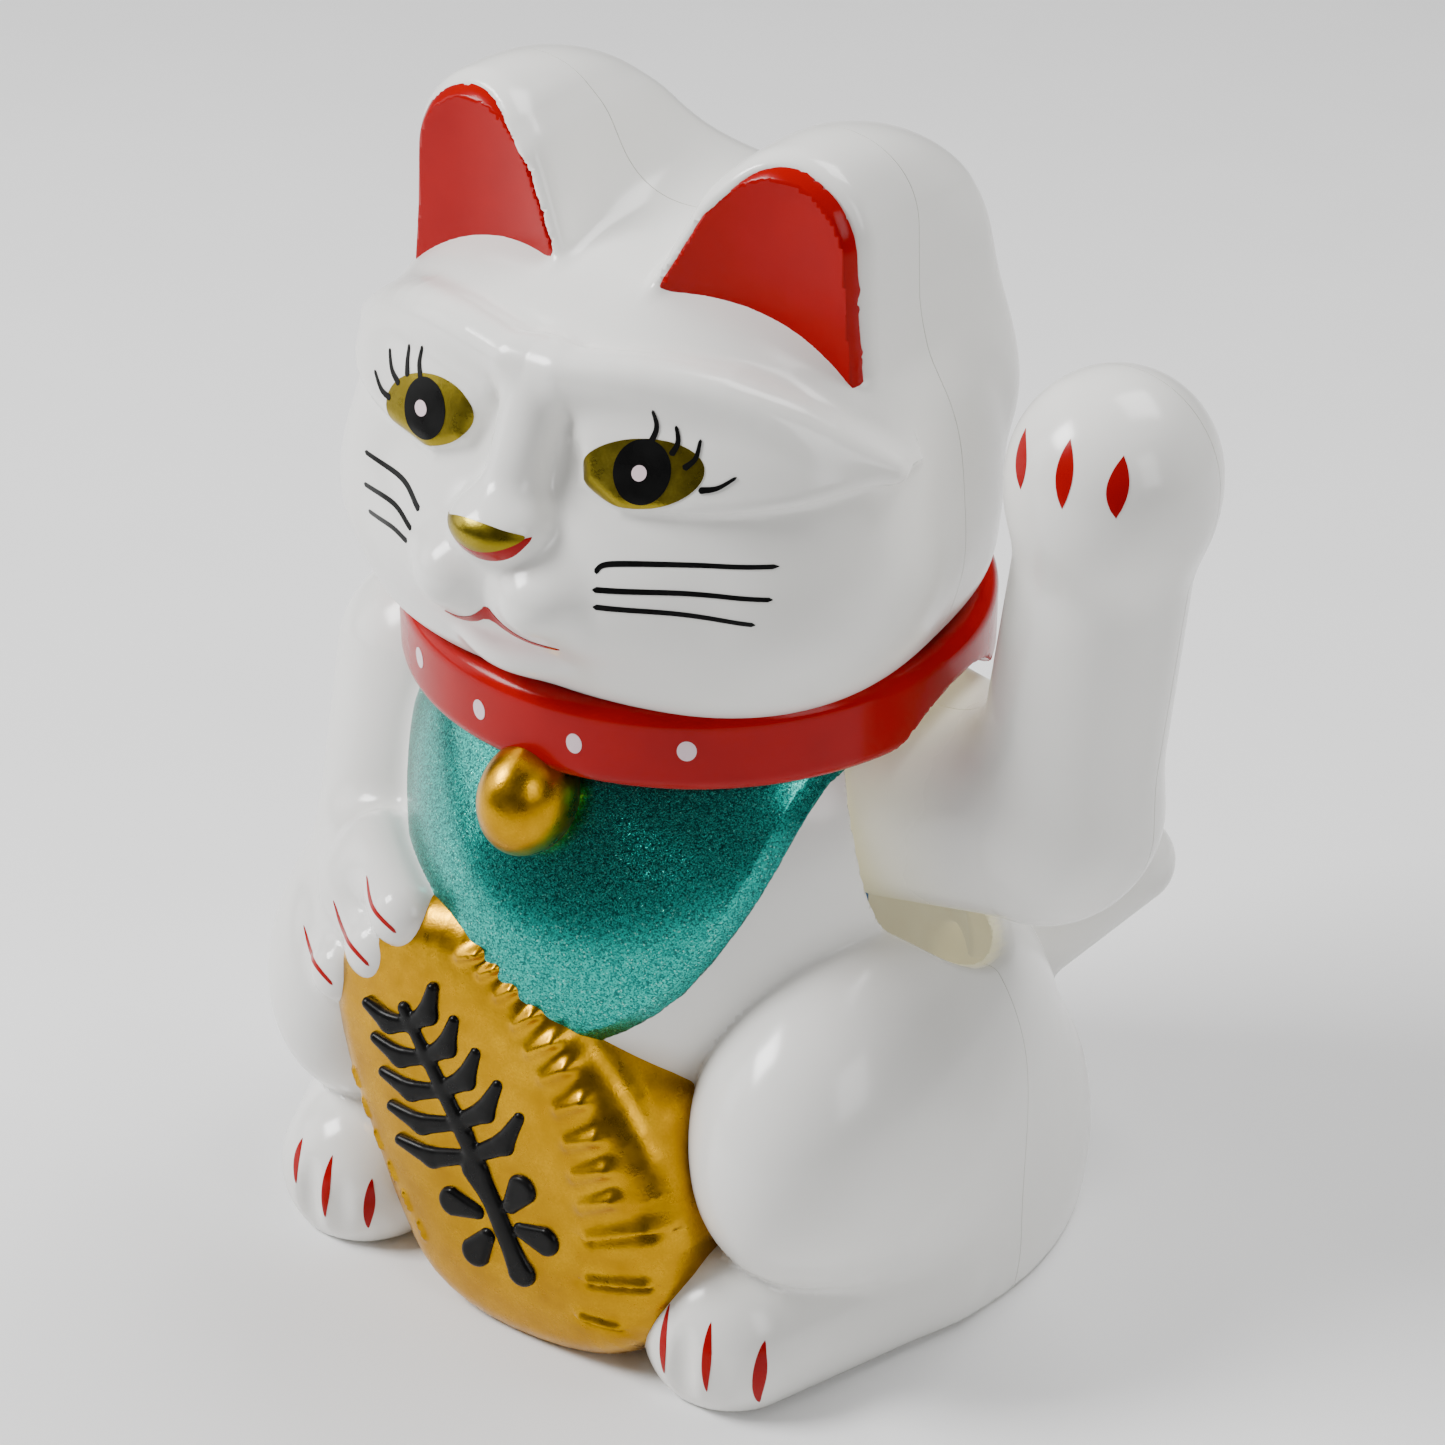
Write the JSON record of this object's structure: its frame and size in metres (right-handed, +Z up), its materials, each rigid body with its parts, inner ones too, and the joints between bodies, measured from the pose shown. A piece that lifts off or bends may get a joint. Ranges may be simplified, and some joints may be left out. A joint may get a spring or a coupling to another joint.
{
  "type": "beckoning cat figurine",
  "caption": "Seated white plastic cat figurine with a waving arm driven by a magnet pendulum over a coil, with a collar, bib, bell and gold tablet.",
  "frame": {"origin": "on the resting plane, under the axis of the collar", "axes": "+Z up, the cat faces -Y, +X is the cat's left side with the waving arm"},
  "size_m": [0.1186, 0.0863, 0.151],
  "materials": {
    "shell_white": "glossy moulded ABS with a thin parting line",
    "base_white": "satin moulded plastic",
    "inner_cream": "unpainted, slightly yellowed plastic",
    "frame_blue": "satin moulded plastic",
    "steel": "zinc plated",
    "contact_steel": "nickel plated spring steel",
    "magnet": "nickel plated",
    "copper": "enamelled copper wire",
    "board": "phenolic paper board",
    "black_plastic": "moulded epoxy",
    "cell_label": "plain printed sleeve",
    "lead_red": "PVC insulation",
    "lead_black": "PVC insulation",
    "paint_red": "sprayed gloss paint",
    "paint_gold": "sprayed fine metallic paint",
    "paint_green": "metal-flake teal paint",
    "print_black": "pad-printed ink",
    "print_olive": "pad-printed metallic ink",
    "print_pink": "pad-printed ink"
  },
  "bodies": {
    "base": {"front_shell": "shell_white", "rear_shell": "shell_white", "base_plate": "base_white", "base_screw_1": "steel", "base_screw_2": "steel", "base_screw_3": "steel", "base_screw_4": "steel", "battery_cell": "cell_label", "positive_contact": "contact_steel", "negative_contact_plate": "contact_steel", "negative_contact_spring": "contact_steel", "drive_frame": "frame_blue", "frame_screw_1": "steel", "frame_screw_2": "steel", "coil_bobbin": "inner_cream", "coil_winding": "copper", "circuit_board": "board", "transistor": "black_plastic", "capacitor": "cell_label", "resistor": "inner_cream", "red_lead": "lead_red", "black_lead": "lead_black", "coil_lead_1": "copper", "coil_lead_2": "copper"},
    "arm": {"arm_front_shell": "shell_white", "arm_rear_shell": "shell_white", "arm_hub": "inner_cream", "axle_pin": "steel", "axle_clip_inner": "steel", "axle_clip_outer": "steel", "pendulum_lever": "frame_blue", "pendulum_magnet": "magnet", "counterweight_left": "steel", "counterweight_right": "steel"},
    "door": {"battery_door": "base_white"}
  },
  "joints": [
    {"name": "arm_swing", "type": "hinge", "parent": "base", "child": "arm", "pos_m": [0, 0.002, 0.068], "axis": [1, 0, 0], "range_deg": [-18, 18]},
    {"name": "battery_door_hinge", "type": "hinge", "parent": "base", "child": "door", "pos_m": [-0.0299, -0.0174, 0.0008], "axis": [0, 1, 0], "range_deg": [0, 75]}
  ]
}
